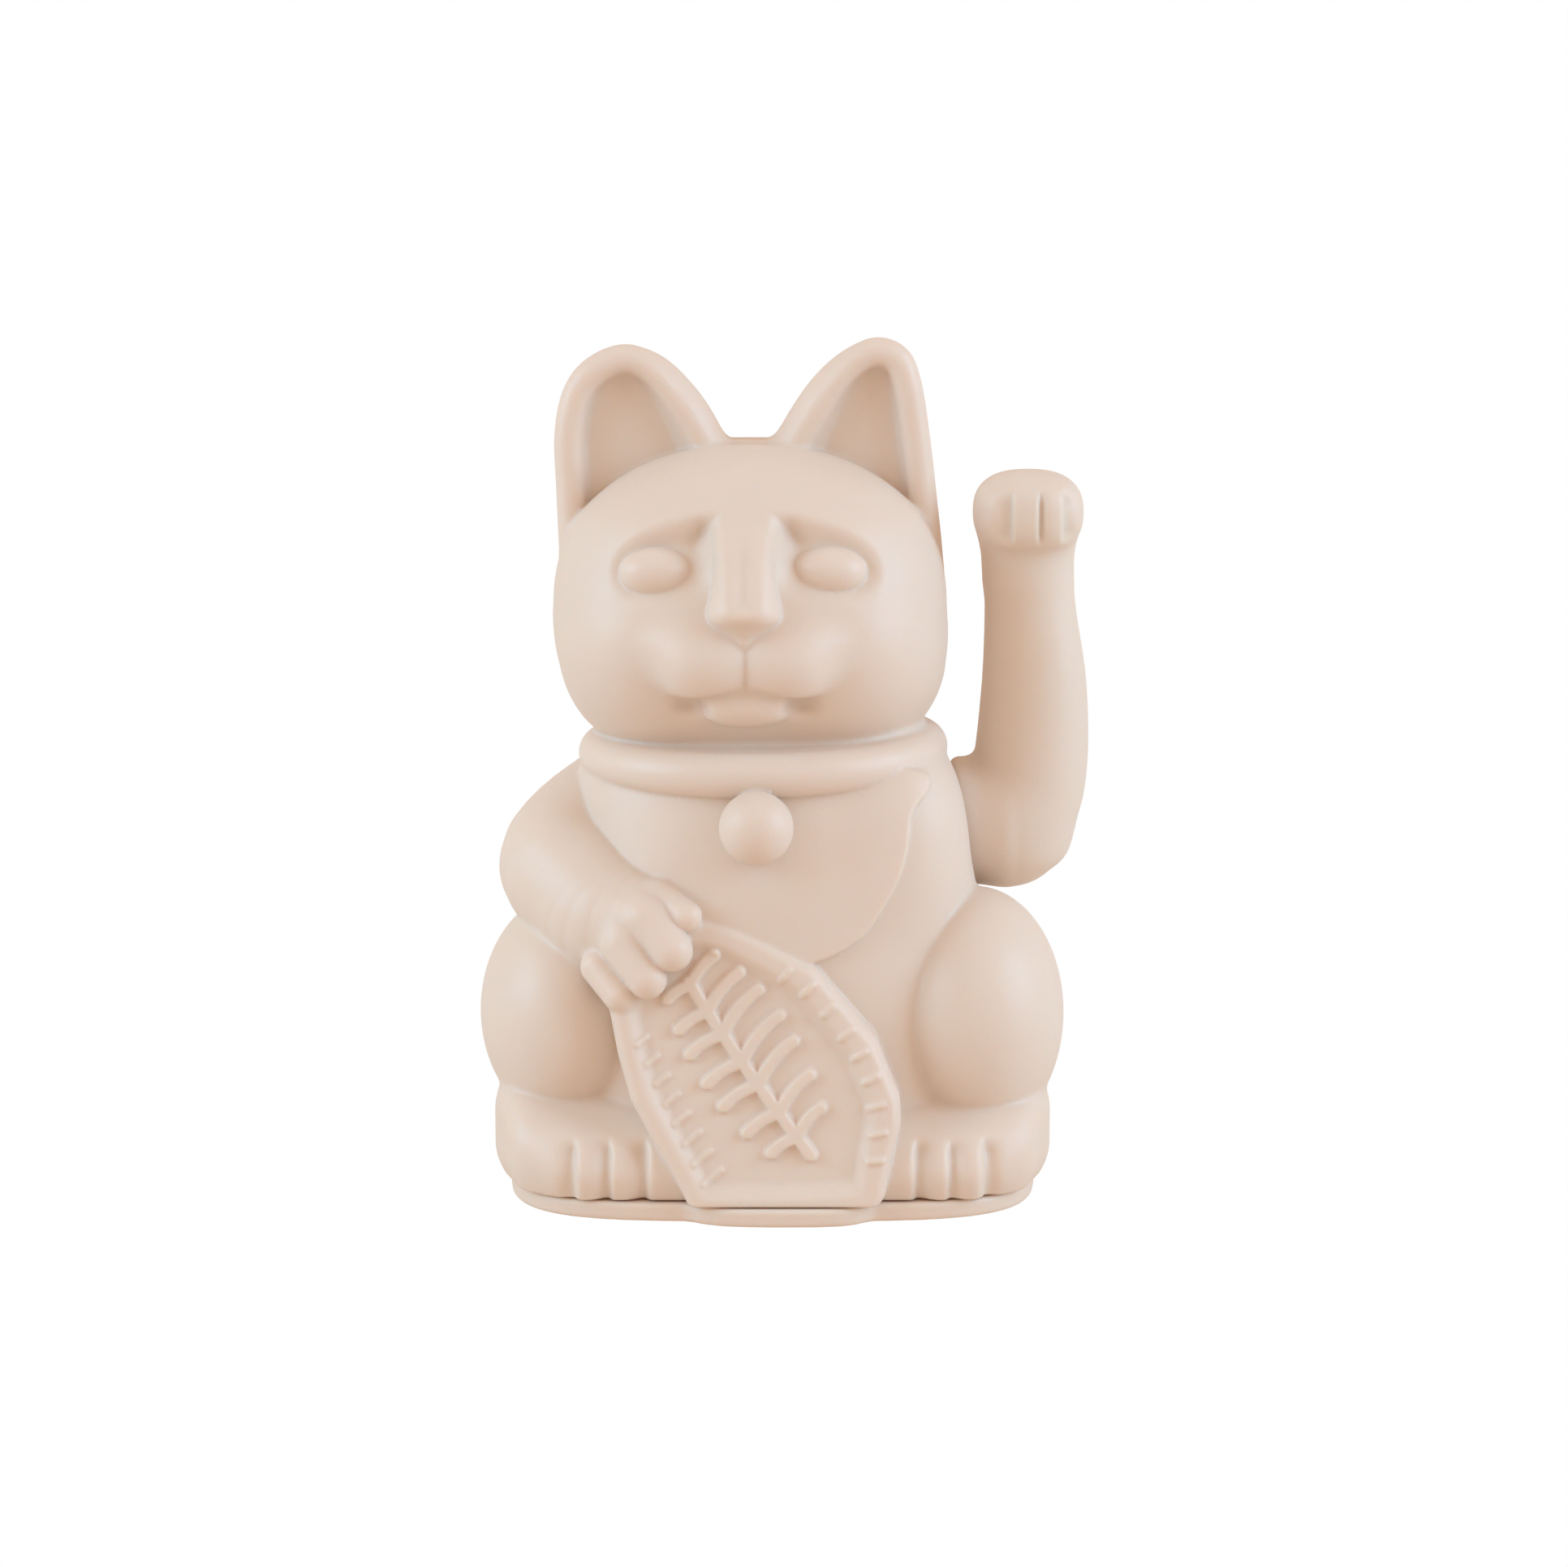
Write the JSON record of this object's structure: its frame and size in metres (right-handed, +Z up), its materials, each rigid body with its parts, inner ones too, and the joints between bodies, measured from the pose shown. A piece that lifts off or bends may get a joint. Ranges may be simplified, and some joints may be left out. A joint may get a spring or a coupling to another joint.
{
  "type": "beckoning cat figurine",
  "caption": "Seated plastic cat figurine with a raised arm that nods on a magnetic pendulum, a bell collar and a leaning oval coin, on a flat base.",
  "frame": {"origin": "centre of the body's width on the underside of the base plate, where the figurine stands", "axes": "+X towards the cat's left, where its raised arm is; +Y towards its back; +Z up; the cat faces -Y"},
  "size_m": [0.1067, 0.0862, 0.1477],
  "materials": {
    "body_plastic": "satin moulded beige plastic",
    "frame_plastic": "plain off-white moulding",
    "black_plastic": "plain black moulding",
    "steel": "bright zinc plated steel",
    "copper": "enamelled copper wire",
    "cell_sleeve": "plain dark sleeve over a metal can",
    "red_wire": "red wire insulation",
    "board_green": "green solder mask",
    "resistor_tan": "lacquered resistor body"
  },
  "bodies": {
    "cat": {"front_shell": "body_plastic", "rear_shell": "body_plastic", "base_plate": "body_plastic", "mechanism_frame": "frame_plastic", "coil_core": "steel", "coil_bobbin": "black_plastic", "coil_winding": "copper", "coil_lead": "copper", "battery_cell": "cell_sleeve", "contact_plate": "steel", "contact_spring": "steel", "cell_lead_red": "red_wire", "cell_lead_black": "black_plastic", "circuit_board": "board_green", "transistor": "black_plastic", "capacitor": "black_plastic", "resistor": "resistor_tan", "switch_body": "black_plastic", "base_screw_front_left": "steel", "base_screw_front_right": "steel", "base_screw_rear_left": "steel", "base_screw_rear_right": "steel", "frame_screw_1": "steel", "frame_screw_2": "steel", "board_screw_1": "steel", "board_screw_2": "steel"},
    "arm": {"arm_front_half": "body_plastic", "arm_rear_half": "body_plastic", "arm_hub": "frame_plastic", "pivot_axle": "steel", "axle_clip": "steel", "pendulum_lever": "frame_plastic", "pendulum_magnet": "steel", "pendulum_weight": "steel"},
    "battery_door": {"battery_door": "body_plastic"},
    "switch_knob": {"switch_knob": "black_plastic"}
  },
  "joints": [
    {"name": "arm_swing", "type": "hinge", "parent": "cat", "child": "arm", "pos_m": [0.0313, 0.004, 0.062], "axis": [1, 0, 0], "range_deg": [-20, 20]},
    {"name": "door_hinge", "type": "hinge", "parent": "cat", "child": "battery_door", "pos_m": [0.03, 0.0206, 0.0009], "axis": [0, -1, 0], "range_deg": [0, 75]},
    {"name": "switch_slide", "type": "slide", "parent": "cat", "child": "switch_knob", "axis": [1, 0, 0], "range_m": [0, 0.0034]}
  ]
}
